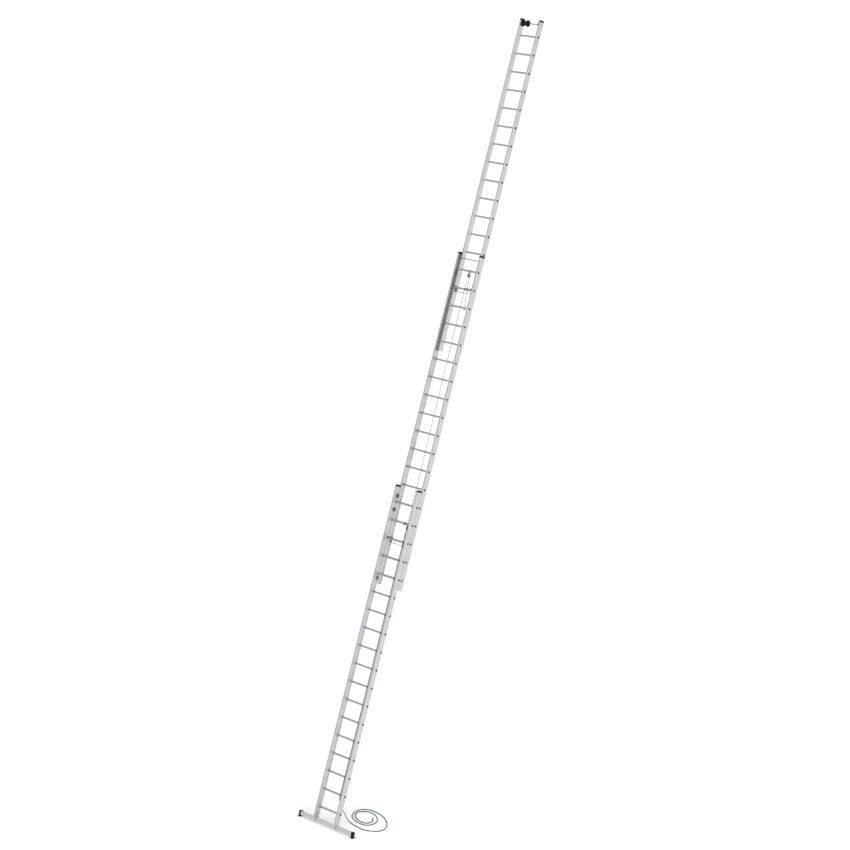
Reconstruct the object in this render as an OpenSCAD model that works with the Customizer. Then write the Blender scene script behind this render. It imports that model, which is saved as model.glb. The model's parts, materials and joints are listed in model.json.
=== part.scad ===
// Three-section extension ladder, raised by a rope, standing on a wide base.
// The row frame has +X along the rungs, +Y towards the wall and +Z up. Its origin is on the floor,
// midway between the feet. Inside on_ladder() the axes are x along the rungs, y from the climber's
// side to the wall side, and z along the stiles.

/* [Ladder] */
// Lean of the ladder from the vertical, in degrees
lean = 20.4; // [15:0.1:25]
// Distance from one rung to the next
rung_pitch = 280; // [270:1:290]
// Rungs in each section
rungs_per_section = 18; // [18:1:18]
// Pitches by which each section is pushed out over the one below
pitches_out = 13; // [11:1:14]
// Height of the lowest rung above the floor, along the stile
first_rung = 260; // [250:1:280]

/* [Stiles] */
// Outside width of the lower and middle sections
section_w = 466; // [460:2:480]
// Outside width of the top section
top_w = 404; // [398:2:404]
// Width of a channel stile, seen from the front
channel_w = 27; // [25:1:28]
// Depth of a channel stile
channel_d = 95; // [94:1:95]
// Wall of the channel's web
web_t = 3; // [2:0.5:4]
// Wall of the channel's flanges
flange_t = 2.5; // [2:0.5:3]
// Width of a box stile in the top section
box_w = 25; // [22:1:26]
// Depth of a box stile
box_d = 86; // [84:1:86]
// Wall of a box stile
box_t = 2; // [1.5:0.5:3]

/* [Rungs] */
// Depth of a rung, front to back
rung_d = 26; // [24:1:26]
// Height of a rung, along the stile
rung_h = 28; // [26:1:28]
// Wall of a rung
rung_t = 1.5; // [1:0.5:2.5]
// Radius of the black plug's head
plug_r = 17; // [15:0.5:18]

/* [Base] */
// Distance between the centres of the two feet
foot_span = 1126; // [1000:2:1300]
// Height of the traverse beam
beam_h = 60; // [50:1:60]
// Depth of the traverse beam
beam_d = 40; // [36:1:44]

/* [Rope] */
// Diameter of the hauling rope
haul_rope_d = 14; // [10:1:14]
// Diameter of the lift rope
lift_rope_d = 8; // [6:1:8]
// Radius at which the hauling rope runs round its sheave
haul_pitch_r = 24; // [20:0.5:24]
// Radius at which the lift rope runs round its sheave
lift_pitch_r = 28; // [26:0.5:28]

/* [Head] */
// Diameter of the wall rollers
roller_d = 102; // [90:1:102]
// Width of a wall roller
roller_w = 15; // [12:1:15]

/* [Hidden] */
$fn = 48;

// Heights along the stile of each section's first rung
rise = pitches_out * rung_pitch;
lower_rung1 = first_rung;
middle_rung1 = first_rung + rise;
top_rung1 = first_rung + 2 * rise;
last_rung = (rungs_per_section - 1) * rung_pitch;
// Ends of the stiles, measured from the first and the last rung
lower_end = 167;
middle_end = 160;
top_end = 150;
head_end = 250;

// Depths: the lower rungs lie in the plane y = 0, and the other sections stand behind them
lower_front = -70;
section_gap = 4;
middle_front = lower_front + channel_d + section_gap;
middle_rung_y = 67;
top_front = 83;
top_rung_y = 126;
top_rear = top_front + box_d;
top_tab_y = top_rear - 14;
lower_rear = lower_front + channel_d;
middle_rear = middle_front + channel_d;

half_w = section_w / 2;
flange_tip = half_w - channel_w;
half_top = top_w / 2;
top_inner = half_top - box_w;

// Guides
clip_h = 60;
clip_t = 3;
slack = 1.5;
lower_guide_heights = [4900, 5110];
middle_bottom_guide = middle_rung1 - 70;
middle_top_guide = middle_rung1 + last_rung - 75;
top_guide = top_rung1 + 100;
rivet_r = 3;
rivet_x = 216;
strap_rivet_x = 218;
rivet_step = 18;
tab_d = 24;
lip_clear = 4;

// Hauling gear hangs from lower rung 17, the lift pulley from middle rung 18
haul_rung = lower_rung1 + 16 * rung_pitch;
haul_x = 150;
haul_front_y = -21.5;
haul_y = haul_front_y + haul_pitch_r;
haul_drop = 50;
lift_rung = middle_rung1 + last_rung;
lift_x = 62;
lift_y = 68;
lift_drop = 66;
sheave_clear = 0.3;
pin_clear = 0.06;
cheek_t = 3;
cheek_r = 17;
anchor_t = 8;
anchor_head = 14;
anchor_foot = 12;
lift_anchor_x = 97;
lift_front_y = lift_y - lift_pitch_r;
lift_rear_y = lift_y + lift_pitch_r;
haul_rear_y = haul_y + haul_pitch_r;

// Lock hooks swing on middle rung 3 and top rung 4
middle_hook_rung = middle_rung1 + 2 * rung_pitch;
top_hook_rung = top_rung1 + 3 * rung_pitch;
hook_x = 169.5;
hook_w = 13;
bush_r = 20;
bush_w = hook_w + 1;
hook_eye_r = 26;
hook_rod_r = 5;
hook_boss_r = 9;
hook_rod_y = -4;
hook_rod_z = -57;
lip_gap = 2.5;
lip_t = 9;

// Base
beam_z = 58;
beam_t = 2.5;
plate_t = 4;
saddle_w = 34;
saddle_x = half_w - web_t - saddle_w / 2;
foot_x = foot_span / 2;
shoe_w = 33;
shoe_r = 22;
shoe_top = 94;
shoe_pivot = 38;
shoe_socket = 2;
hood_reach = 14;
stile_bolt = [0, -20, 145];
stile_bolt_r = 5;
beam_bolt_r = 4;
tongue_h = 85;
pad_out = 24;
pad_l = 62;
foot_pin_r = 4;
foot_pin_y = shoe_pivot * sin(lean);
foot_pin_z = shoe_pivot * cos(lean);

// Head
axle_z = top_rung1 + last_rung + 194;
axle_y = 140;
axle_r = 7;
roller_xs = [-166, -78, 166];

// Route of the free hauling rope: down the front of the rungs, in ladder axes
rope_r = haul_rope_d / 2;
ladder_route = [
    [haul_x, haul_front_y, haul_rung - haul_drop], [154, -22, 560], [154, -18.5, 500],
    [154, 4, 430], [154, 50, 358], [154, 104, 312], [154, 146, 284]
];
// Then down to the floor and inwards round two and a half loose loops, in the row frame
floor_route = [
    [155, 282, 124], [162, 322, 50], [188, 352, 12], [260, 338, rope_r], [470, 318, rope_r],
    [590, 358, rope_r], [680, 430, rope_r], [708, 530, rope_r], [662, 640, rope_r],
    [550, 752, rope_r], [410, 836, rope_r], [260, 882, rope_r], [120, 888, rope_r], [0, 848, rope_r],
    [-58, 756, rope_r], [-44, 640, rope_r], [30, 534, rope_r], [140, 468, rope_r], [270, 438, rope_r],
    [380, 450, rope_r], [450, 520, rope_r], [430, 670, rope_r], [270, 800, rope_r],
    [130, 818, rope_r], [30, 776, rope_r], [-12, 698, rope_r], [18, 616, rope_r], [100, 546, rope_r],
    [210, 500, rope_r], [312, 494, rope_r], [376, 540, rope_r], [376, 620, rope_r], [308, 696, rope_r]
];

function to_row(p) = [p[0], p[1] * cos(lean) + p[2] * sin(lean), p[2] * cos(lean) - p[1] * sin(lean)];

// ---- helpers -------------------------------------------------------------------------------------

module on_ladder() { rotate([-lean, 0, 0]) children(); }

// A straight round bar along x, y or z, from its lower end
module bar_x(r, x0, x1) { translate([x0, 0, 0]) rotate([0, 90, 0]) cylinder(r = r, h = x1 - x0); }
module bar_y(r, y0, y1) { translate([0, y0, 0]) rotate([-90, 0, 0]) cylinder(r = r, h = y1 - y0); }
module bar_z(r, z0, z1) { translate([0, 0, z0]) cylinder(r = r, h = z1 - z0); }

module hex_head(r, h) { rotate([0, 90, 0]) cylinder(r = r, h = h, $fn = 6); }

// Rectangle centred on the origin with round corners
module soft_rect(w, d, r) {
    square([w - 2 * r, d], center = true);
    square([w, d - 2 * r], center = true);
    for (x = [-1, 1], y = [-1, 1]) translate([x * (w / 2 - r), y * (d / 2 - r)]) circle(r = r);
}

// Draws an outline given in (y, z) and makes it w thick along x, centred on x = 0
module plate_yz(w) {
    translate([-w / 2, 0, 0]) rotate([90, 0, 90]) linear_extrude(height = w) children();
}

module rung_outline(grow = 0) { soft_rect(rung_d + 2 * grow, rung_h + 2 * grow, 6 + grow); }

// ---- stiles, rungs and caps ----------------------------------------------------------------------

// Channel open towards the middle of the ladder; the web is at +x
module channel_outline(front) {
    translate([half_w - channel_w / 2, front + channel_d / 2]) difference() {
        soft_rect(channel_w, channel_d, 2.5);
        translate([-web_t, 0]) square([channel_w, channel_d - 2 * flange_t], center = true);
    }
}

module box_outline() {
    translate([half_top - box_w / 2, top_front + box_d / 2]) difference() {
        soft_rect(box_w, box_d, 3);
        soft_rect(box_w - 2 * box_t, box_d - 2 * box_t, 1);
    }
}

// Holes for the rungs of one section, right through a right-hand stile
module rung_holes(x0, rung_y, rung1) {
    for (i = [0:rungs_per_section - 1]) translate([x0, rung_y, rung1 + i * rung_pitch])
        rotate([90, 0, 90]) linear_extrude(height = 60) rung_outline(0.1);
}

module rivet_holes(x, ys, heights) {
    for (z = heights, s = [-1, 1]) translate([x, 0, z + s * rivet_step]) bar_y(rivet_r, ys[0], ys[1]);
}

// Holes through a channel's web for the rivets of its guides' tabs
module web_holes(y, heights) {
    for (z = heights) translate([0, y, z]) bar_x(rivet_r, half_w - web_t - clip_t - 1, half_w + 1);
}

module channel_stile(front, z0, z1, rung_y, rung1) {
    difference() {
        translate([0, 0, z0]) linear_extrude(height = z1 - z0) channel_outline(front);
        rung_holes(half_w - 10, rung_y, rung1);
        children();
    }
}

module lower_stile() {
    z0 = lower_rung1 - lower_end;
    channel_stile(lower_front, z0, lower_rung1 + last_rung + head_end, 0, lower_rung1) {
        rivet_holes(rivet_x, [lower_rear - 5, lower_rear + 1], lower_guide_heights);
        web_holes(lower_tab_y, lower_guide_heights);
        translate(stile_bolt) bar_x(stile_bolt_r, half_w - 10, half_w + 1);
    }
}
module lower_stile_left() { color("silver") on_ladder() mirror([1, 0, 0]) lower_stile(); }
module lower_stile_right() { color("silver") on_ladder() lower_stile(); }

module middle_stile() {
    z0 = middle_rung1 - middle_end;
    channel_stile(middle_front, z0, middle_rung1 + last_rung + head_end, middle_rung_y, middle_rung1) {
        rivet_holes(rivet_x, [middle_front - 1, middle_front + 5], [middle_bottom_guide]);
        web_holes(middle_tab_y, [middle_bottom_guide]);
        rivet_holes(strap_rivet_x, [middle_rear - 5, middle_rear + 1], [middle_top_guide]);
    }
}
module middle_stile_left() { color("silver") on_ladder() mirror([1, 0, 0]) middle_stile(); }
module middle_stile_right() { color("silver") on_ladder() middle_stile(); }

module top_stile() {
    z0 = top_rung1 - top_end;
    difference() {
        translate([0, 0, z0]) linear_extrude(height = last_rung + head_end + top_end) box_outline();
        rung_holes(top_inner - 10, top_rung_y, top_rung1);
        for (s = [-1, 1]) translate([0, top_tab_y, top_guide + s * rivet_step])
            bar_x(rivet_r, top_inner - 1, top_inner + box_t + 1);
        translate([0, axle_y, axle_z]) bar_x(axle_r, top_inner - 1, half_top + 1);
    }
}
module top_stile_left() { color("silver") on_ladder() mirror([1, 0, 0]) top_stile(); }
module top_stile_right() { color("silver") on_ladder() top_stile(); }

// One hollow rung of the given outside length
module rung(length) {
    rotate([90, 0, 90]) translate([0, 0, -length / 2]) linear_extrude(height = length) difference() {
        rung_outline();
        rung_outline(-rung_t);
    }
}

module rung_row(length, rung_y, rung1) {
    for (i = [0:rungs_per_section - 1]) translate([0, rung_y, rung1 + i * rung_pitch]) rung(length);
}
module lower_rungs() { color("gainsboro") on_ladder() rung_row(section_w, 0, lower_rung1); }
module middle_rungs() { color("gainsboro") on_ladder() rung_row(section_w, middle_rung_y, middle_rung1); }
module top_rungs() { color("gainsboro") on_ladder() rung_row(top_w, top_rung_y, top_rung1); }

// Black plug: a flat head outside the stile and a spigot inside the rung
module rung_plug() {
    bar_x(plug_r, 0, 1.5);
    bar_x(10, -14, 0);
}

module plug_row(half, rung_y, rung1) {
    for (i = [0:rungs_per_section - 1], s = [0, 1])
        mirror([s, 0, 0]) translate([half, rung_y, rung1 + i * rung_pitch]) rung_plug();
}
module lower_rung_plugs() { color("black") on_ladder() plug_row(half_w, 0, lower_rung1); }
module middle_rung_plugs() { color("black") on_ladder() plug_row(half_w, middle_rung_y, middle_rung1); }
module top_rung_plugs() { color("black") on_ladder() plug_row(half_top, top_rung_y, top_rung1); }

// Crowned cap over a stile's end: w wide and d deep outside, centred at (x, y), pocket cut by children
module stile_cap(w, d, x, y, z) {
    skirt = 20;
    crown = 10;
    crown_r = 150;
    difference() {
        intersection() {
            translate([x, y, z - skirt]) linear_extrude(height = skirt + crown) soft_rect(w, d, 4);
            translate([0, y, z + crown - crown_r]) bar_x(crown_r, x - w, x + w);
        }
        translate([0, 0, z - skirt - 1]) linear_extrude(height = skirt + 1) children();
    }
}

module cap_pair() { for (s = [0, 1]) mirror([s, 0, 0]) children(); }

cap_rim = 1.5;
module lower_caps() {
    color("black") on_ladder() cap_pair()
        stile_cap(channel_w + 2 * cap_rim, channel_d + 2 * cap_rim, half_w - channel_w / 2,
            lower_front + channel_d / 2, lower_rung1 + last_rung + head_end) channel_outline(lower_front);
}
module middle_caps() {
    color("black") on_ladder() cap_pair()
        stile_cap(channel_w + 2 * cap_rim, channel_d + 2 * cap_rim, half_w - channel_w / 2,
            middle_front + channel_d / 2, middle_rung1 + last_rung + head_end) channel_outline(middle_front);
}
module top_caps() {
    color("black") on_ladder() cap_pair()
        stile_cap(box_w + 2 * cap_rim, box_d + 2 * cap_rim, half_top - box_w / 2,
            top_front + box_d / 2, top_rung1 + last_rung + head_end) box_outline();
}

// ---- guides --------------------------------------------------------------------------------------

// Inside faces of the flanges that the clips are riveted to, and the depths of their web rivets
lower_foot_y = lower_rear - flange_t;
middle_foot_y = middle_front + flange_t;
lower_tab_y = lower_foot_y - tab_d / 2 - clip_t;
middle_tab_y = middle_foot_y + tab_d / 2 + clip_t;

// Clip over two neighbouring flanges, from y0 to y1. Its foot and tab are riveted inside one channel
// and its lip reaches behind the other channel's flange.
module flange_clip(y0, y1, foot_y, tab_y, lip_y, z) {
    clip_x = flange_tip - slack - clip_t;
    web_x = half_w - web_t;
    translate([0, 0, z - clip_h / 2]) {
        translate([clip_x, y0, 0]) cube([clip_t, y1 - y0, clip_h]);
        translate([clip_x, foot_y, 0]) cube([web_x - clip_x, clip_t, clip_h]);
        translate([web_x - clip_t, tab_y, 0]) cube([clip_t, tab_d + clip_t, clip_h]);
        translate([clip_x, lip_y, 0]) cube([web_x - lip_clear - clip_x, clip_t, clip_h]);
    }
}

module lower_guides() {
    foot_y = lower_foot_y - clip_t;
    lip_y = middle_foot_y + slack;
    color("dimgray") on_ladder() cap_pair() for (z = lower_guide_heights) difference() {
        flange_clip(foot_y, lip_y + clip_t, foot_y, foot_y - tab_d, lip_y, z);
        rivet_holes(rivet_x, [foot_y - 1, lower_foot_y + 1], [z]);
        web_holes(lower_tab_y, [z]);
    }
}

module middle_bottom_guides() {
    lip_y = lower_foot_y - slack - clip_t;
    color("dimgray") on_ladder() cap_pair() difference() {
        flange_clip(lip_y, middle_foot_y + clip_t, middle_foot_y, middle_foot_y, lip_y, middle_bottom_guide);
        rivet_holes(rivet_x, [middle_foot_y - 1, middle_foot_y + clip_t + 1], [middle_bottom_guide]);
        web_holes(middle_tab_y, [middle_bottom_guide]);
    }
}

// Strap from the middle section's rear flange round the back of the top section's stile
module middle_top_guides() {
    strap_x = half_top + 3;
    strap_end = half_w - 5;
    back_y = top_rear + 2;
    inside_x = top_inner - 2 - clip_t;
    inside_d = 27;
    color("dimgray") on_ladder() cap_pair() difference() {
        translate([0, 0, middle_top_guide - clip_h / 2]) {
            translate([strap_x, middle_rear, 0]) cube([strap_end - strap_x, clip_t, clip_h]);
            translate([strap_x, middle_rear, 0]) cube([clip_t, back_y + clip_t - middle_rear, clip_h]);
            translate([inside_x, back_y, 0]) cube([strap_x + clip_t - inside_x, clip_t, clip_h]);
            translate([inside_x, back_y + clip_t - inside_d, 0]) cube([clip_t, inside_d, clip_h]);
        }
        rivet_holes(strap_rivet_x, [middle_rear - 1, middle_rear + clip_t + 1], [middle_top_guide]);
    }
}

// Guide on the foot of the top section: a strap round its stile and a claw round the flange beside it
module top_guides() {
    side_t = 2.5;
    claw_w = 24;
    claw_t = 4.5;
    claw_y = middle_rear - flange_t - slack - claw_t;
    inside_x = top_inner - clip_t;
    color("dimgray") on_ladder() cap_pair() difference() {
        translate([0, 0, top_guide - clip_h / 2]) {
            translate([half_top, claw_y, 0]) cube([side_t, top_rear + clip_t - claw_y, clip_h]);
            translate([half_top, claw_y, 0]) cube([claw_w, claw_t, clip_h]);
            translate([half_top, middle_rear + slack, 0]) cube([claw_w, clip_t + 1, clip_h]);
            translate([inside_x, top_rear, 0]) cube([half_top + side_t - inside_x, clip_t, clip_h]);
            translate([inside_x, top_rear - tab_d, 0]) cube([clip_t, tab_d + clip_t, clip_h]);
        }
        for (s = [-1, 1]) translate([0, top_tab_y, top_guide + s * rivet_step])
            bar_x(rivet_r, inside_x - 1, top_inner + 1);
    }
}

// A rivet through t of metal along +y, with a low round head at its start
rivet_head_r = 5;
rivet_head_t = 1.2;
module rivet(t) {
    bar_y(rivet_r, 0, t);
    bar_y(rivet_head_r, -rivet_head_t, 0);
}

// Rivet through a channel's web and the tab behind it, headed on the outside
module web_rivet(y, z) {
    translate([half_w, y, z]) rotate([0, 0, 90]) rivet(web_t + clip_t);
}

module lower_rivets() {
    color("lightgray") on_ladder() cap_pair() for (z = lower_guide_heights) {
        for (s = [-1, 1]) translate([rivet_x, lower_foot_y - clip_t, z + s * rivet_step])
            rivet(clip_t + flange_t);
        web_rivet(lower_tab_y, z);
    }
}
module middle_rivets() {
    color("lightgray") on_ladder() cap_pair() {
        for (s = [-1, 1]) {
            translate([rivet_x, middle_foot_y + clip_t, middle_bottom_guide + s * rivet_step])
                mirror([0, 1, 0]) rivet(clip_t + flange_t);
            translate([strap_rivet_x, middle_rear + clip_t, middle_top_guide + s * rivet_step])
                mirror([0, 1, 0]) rivet(clip_t + flange_t);
        }
        web_rivet(middle_tab_y, middle_bottom_guide);
    }
}
module top_rivets() {
    color("lightgray") on_ladder() cap_pair() for (s = [-1, 1])
        translate([top_inner - clip_t, top_tab_y, top_guide + s * rivet_step])
            rotate([0, 0, -90]) rivet(clip_t + box_t);
}

// ---- pulleys and anchors -------------------------------------------------------------------------

// Grooved wheel on the x axis for a rope of radius r running at pitch radius pitch
module sheave(pitch, r, pin_r) {
    half = r + 2;
    rotate([0, 90, 0]) difference() {
        bar_z(pitch + r, -half, half);
        rotate_extrude() union() {
            translate([pitch, 0]) circle(r = r + sheave_clear);
            translate([pitch, -r - sheave_clear]) square([r + 2, 2 * (r + sheave_clear)]);
        }
        bar_z(pin_r + pin_clear, -half - 1, half + 1);
    }
}

// One side plate of a pulley block: threaded on a rung above, holding the pin below
module cheek_outline(sheave_y, drop, pin_r) {
    difference() {
        union() {
            soft_rect(rung_d + 12, rung_h + 12, 8);
            translate([sheave_y, -drop]) circle(r = cheek_r);
            translate([sheave_y - cheek_r, -drop]) square([2 * cheek_r, drop - rung_h / 2]);
        }
        rung_outline(0.2);
        translate([sheave_y, -drop]) circle(r = pin_r);
    }
}

// Two side plates and the bridge that joins them over the rung
module pulley_block(gap, sheave_y, drop, pin_r) {
    bridge_d = 16;
    bridge_h = 3;
    for (s = [-1, 1]) translate([s * (gap + cheek_t) / 2, 0, 0])
        plate_yz(cheek_t) cheek_outline(sheave_y, drop, pin_r);
    translate([-gap / 2, -bridge_d / 2, rung_h / 2 + 1.5]) cube([gap, bridge_d, bridge_h]);
}

haul_gap = haul_rope_d + 6;
lift_gap = lift_rope_d + 6;

// Pin with a head on one side and a riveted end on the other
module pulley_pin(gap, r) {
    outer = gap / 2 + cheek_t;
    bar_x(r, -outer - 1.5, outer);
    bar_x(r + 3, outer, outer + 3);
}

haul_pin_r = 4;
lift_pin_r = 5;
module at_haul_sheave() { on_ladder() translate([haul_x, haul_y, haul_rung - haul_drop]) children(); }
module at_lift_sheave() { on_ladder() translate([lift_x, lift_y, lift_rung - lift_drop]) children(); }

module haul_pulley_block() {
    color("gray") on_ladder() translate([haul_x, 0, haul_rung])
        pulley_block(haul_gap, haul_y, haul_drop, haul_pin_r);
}
module haul_pulley_pin() { color("lightgray") at_haul_sheave() pulley_pin(haul_gap, haul_pin_r); }
module haul_sheave() { color("dimgray") at_haul_sheave() sheave(haul_pitch_r, rope_r, haul_pin_r); }

module lift_pulley_block() {
    color("gray") on_ladder() translate([lift_x, middle_rung_y, lift_rung])
        pulley_block(lift_gap, lift_y - middle_rung_y, lift_drop, lift_pin_r);
}
module lift_pulley_pin() { color("lightgray") at_lift_sheave() pulley_pin(lift_gap, lift_pin_r); }
module lift_sheave() { color("dimgray") at_lift_sheave() sheave(lift_pitch_r, lift_rope_d / 2, lift_pin_r); }

// Plate threaded on a rung, with an arm that holds a rope's ferrule at the depth reach from the rung
module rope_anchor(reach, ferrule_r) {
    arm_h = 20;
    plate_yz(anchor_t) difference() {
        union() {
            soft_rect(rung_d + 10, rung_h + 10, 8);
            translate([min(0, reach), anchor_head - 3 - arm_h]) square([abs(reach), arm_h]);
        }
        rung_outline(0.2);
    }
    translate([0, reach, 0]) bar_z(ferrule_r, -anchor_foot, anchor_head);
}

module haul_rope_anchor() {
    color("gray") on_ladder() translate([haul_x, middle_rung_y, middle_hook_rung])
        rope_anchor(haul_rear_y - middle_rung_y, rope_r + 1);
}
module lift_rope_anchor() {
    color("gray") on_ladder() translate([lift_anchor_x, 0, haul_rung])
        rope_anchor(lift_front_y, lift_rope_d / 2 + 2);
}
module top_rope_anchor() {
    color("gray") on_ladder() translate([lift_x, top_rung_y, top_hook_rung])
        rope_anchor(lift_rear_y - top_rung_y, lift_rope_d / 2 + 2);
}

// ---- lock hooks ----------------------------------------------------------------------------------

// Round plastic sleeves threaded on a rung for the hooks to swing on
module hook_bushes(rung_y, rung_z) {
    on_ladder() cap_pair() translate([hook_x, rung_y, rung_z]) plate_yz(bush_w) difference() {
        circle(r = bush_r);
        rung_outline(0.2);
    }
}
module middle_hook_bushes() { color("black") hook_bushes(middle_rung_y, middle_hook_rung); }
module top_hook_bushes() { color("black") hook_bushes(top_rung_y, top_hook_rung); }

// Claw of a hook in (y, z) about its own rung; the rung it stands on is reach further forward
module claw_outline(reach) {
    claw_top = rung_h / 2 + 10.5;
    claw_under = rung_h / 2 + 0.4;
    lip_in = -reach - rung_d / 2 - lip_gap;
    back_in = -reach + rung_d / 2 + lip_gap;
    polygon([[0, claw_top], [lip_in - lip_t, claw_top], [lip_in - lip_t, 3], [lip_in, 3],
        [lip_in, claw_under], [back_in, claw_under], [back_in + 2, -6], [-16, -18], [-8, -12]]);
}

// Arm of a hook, from its eye down to the rod that joins the pair
module arm_outline() {
    half = hook_boss_r - 1.5;
    polygon([[-18, -15], [11, -21], [hook_rod_y + half, hook_rod_z + 2],
        [hook_rod_y - half, hook_rod_z + 2]]);
}

module hook(side, rung_y, rung_z, reach) {
    half = hook_w / 2;
    on_ladder() translate([side * hook_x, rung_y, rung_z]) difference() {
        union() {
            bar_x(hook_eye_r, -half, half);
            plate_yz(hook_w) claw_outline(reach);
            plate_yz(hook_w) arm_outline();
            translate([0, hook_rod_y, hook_rod_z]) bar_x(hook_boss_r, -half, half);
        }
        bar_x(bush_r + pin_clear, -hook_w, hook_w);
        translate([0, hook_rod_y, hook_rod_z]) bar_x(hook_rod_r, -hook_w, hook_w);
    }
}
module hook_rod(rung_y, rung_z) {
    on_ladder() translate([0, rung_y + hook_rod_y, rung_z + hook_rod_z])
        bar_x(hook_rod_r, -hook_x - hook_w / 2, hook_x + hook_w / 2);
}

middle_reach = middle_rung_y;
top_reach = top_rung_y - middle_rung_y;
module middle_hook_left() { color("silver") hook(-1, middle_rung_y, middle_hook_rung, middle_reach); }
module middle_hook_right() { color("silver") hook(1, middle_rung_y, middle_hook_rung, middle_reach); }
module middle_hook_rod() { color("lightgray") hook_rod(middle_rung_y, middle_hook_rung); }
module top_hook_left() { color("silver") hook(-1, top_rung_y, top_hook_rung, top_reach); }
module top_hook_right() { color("silver") hook(1, top_rung_y, top_hook_rung, top_reach); }
module top_hook_rod() { color("lightgray") hook_rod(top_rung_y, top_hook_rung); }

// ---- tie rod and head ----------------------------------------------------------------------------

tie_z = middle_rung1 + last_rung + 170;
tie_y = 60;
tie_r = 6;
module tie_rod() {
    reach = half_w - web_t;
    color("silver") on_ladder() translate([0, tie_y, tie_z]) bar_x(tie_r, -reach, reach);
}
module tie_rod_nuts() {
    web_x = half_w - web_t;
    nut_l = 16;
    nut_r = 11;
    color("dimgray") on_ladder() cap_pair() translate([0, tie_y, tie_z]) difference() {
        bar_x(nut_r, web_x - nut_l, web_x);
        bar_x(tie_r, web_x - nut_l - 1, web_x + 1);
    }
}

axle_nut_t = 7;
module roller_axle() {
    reach = half_top + axle_nut_t + 1;
    color("silver") on_ladder() translate([0, axle_y, axle_z]) bar_x(axle_r, -reach, reach);
}
module axle_nuts() {
    color("gray") on_ladder() cap_pair() translate([half_top, axle_y, axle_z]) difference() {
        hex_head(11, axle_nut_t);
        bar_x(axle_r, -1, axle_nut_t + 1);
    }
}

// Wheel with a thick tread, a thin web and a hub, turning on the axle
module wall_roller(x) {
    half = roller_w / 2;
    shoulder = 3;
    edge = roller_d / 2 - shoulder;
    tread_t = 9;
    hub_t = 7;
    disc_w = 6;
    on_ladder() translate([x, axle_y, axle_z]) rotate([0, 90, 0]) rotate_extrude() {
        translate([axle_r + pin_clear, -half]) square([hub_t, roller_w]);
        translate([axle_r + 1, -disc_w / 2]) square([edge - tread_t - axle_r + 1, disc_w]);
        translate([edge - tread_t, -half]) square([tread_t, roller_w]);
        translate([edge, -half + shoulder]) square([shoulder, roller_w - 2 * shoulder]);
        for (s = [-1, 1]) translate([edge, s * (half - shoulder)]) circle(r = shoulder);
    }
}
module wall_roller_left() { color("black") wall_roller(roller_xs[0]); }
module wall_roller_middle() { color("black") wall_roller(roller_xs[1]); }
module wall_roller_right() { color("black") wall_roller(roller_xs[2]); }

// ---- base ----------------------------------------------------------------------------------------

module traverse_beam() {
    reach = foot_x - shoe_socket;
    color("silver") on_ladder() translate([0, 0, beam_z]) difference() {
        rotate([90, 0, 90]) translate([0, 0, -reach]) linear_extrude(height = 2 * reach) difference() {
            soft_rect(beam_d, beam_h, 4);
            soft_rect(beam_d - 2 * beam_t, beam_h - 2 * beam_t, 2);
        }
        for (s = [-1, 1]) translate([s * saddle_x, 0, 0]) bar_y(beam_bolt_r, -beam_d, beam_d);
    }
}

// Saddle over the beam with a tongue that stands inside the stile
module traverse_bracket() {
    top = beam_z + beam_h / 2;
    foot = 34;
    saddle_d = beam_d + 2 * plate_t;
    tongue_y = -40;
    tongue_d = 52;
    difference() {
        union() {
            for (y = [-saddle_d / 2, beam_d / 2]) translate([saddle_x - saddle_w / 2, y, foot])
                cube([saddle_w, plate_t, top - foot]);
            translate([saddle_x - saddle_w / 2, -saddle_d / 2, top]) cube([saddle_w, saddle_d, plate_t]);
            translate([half_w - web_t - plate_t, tongue_y, top]) cube([plate_t, tongue_d, tongue_h]);
        }
        translate([saddle_x, 0, beam_z]) bar_y(beam_bolt_r, -beam_d, beam_d);
        translate(stile_bolt) bar_x(stile_bolt_r, half_w - 20, half_w);
    }
}
module traverse_brackets() { color("gray") on_ladder() cap_pair() traverse_bracket(); }

module traverse_bolts() {
    inner = half_w - web_t - plate_t;
    side = beam_d / 2 + plate_t;
    stile_head = [9, 6];
    beam_head = [7.5, 5];
    color("lightgray") on_ladder() cap_pair() {
        translate(stile_bolt) {
            bar_x(stile_bolt_r, inner, half_w);
            translate([inner - stile_head[1], 0, 0]) hex_head(stile_head[0], stile_head[1]);
        }
        translate([saddle_x, 0, beam_z]) {
            bar_y(beam_bolt_r, -side, side);
            for (y = [-side, side + beam_head[1]]) translate([0, y, 0])
                rotate([0, 0, -90]) hex_head(beam_head[0], beam_head[1]);
        }
    }
}

// Shoe closing the end of the beam, with a hood over it and a round underside that rocks in the pad
module foot_shoe() {
    body_half = shoe_r + 2;
    body_foot = shoe_pivot + 8;
    beam_top = beam_z + beam_h / 2;
    difference() {
        union() {
            translate([foot_x, 0, 0]) plate_yz(shoe_w) union() {
                translate([0, shoe_pivot]) circle(r = shoe_r);
                translate([-shoe_r, shoe_pivot]) square([2 * shoe_r, 20]);
                translate([-body_half, body_foot]) square([2 * body_half, shoe_top - body_foot]);
            }
            translate([foot_x - shoe_w / 2 - hood_reach, -body_half, beam_top])
                cube([hood_reach + 5, 2 * body_half, shoe_top - beam_top]);
        }
        translate([0, 0, beam_z]) rotate([90, 0, 90]) linear_extrude(height = foot_x - shoe_socket)
            soft_rect(beam_d, beam_h, 4);
        translate([0, 0, shoe_pivot]) bar_x(foot_pin_r, foot_x, foot_x + shoe_w);
    }
}
module foot_shoes() { color("black") on_ladder() cap_pair() foot_shoe(); }

module foot_pins() {
    color("lightgray") on_ladder() cap_pair() translate([0, 0, shoe_pivot]) {
        bar_x(foot_pin_r, foot_x, foot_x + pad_out);
        bar_x(foot_pin_r + 2.5, foot_x + pad_out, foot_x + pad_out + 2);
    }
}

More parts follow.
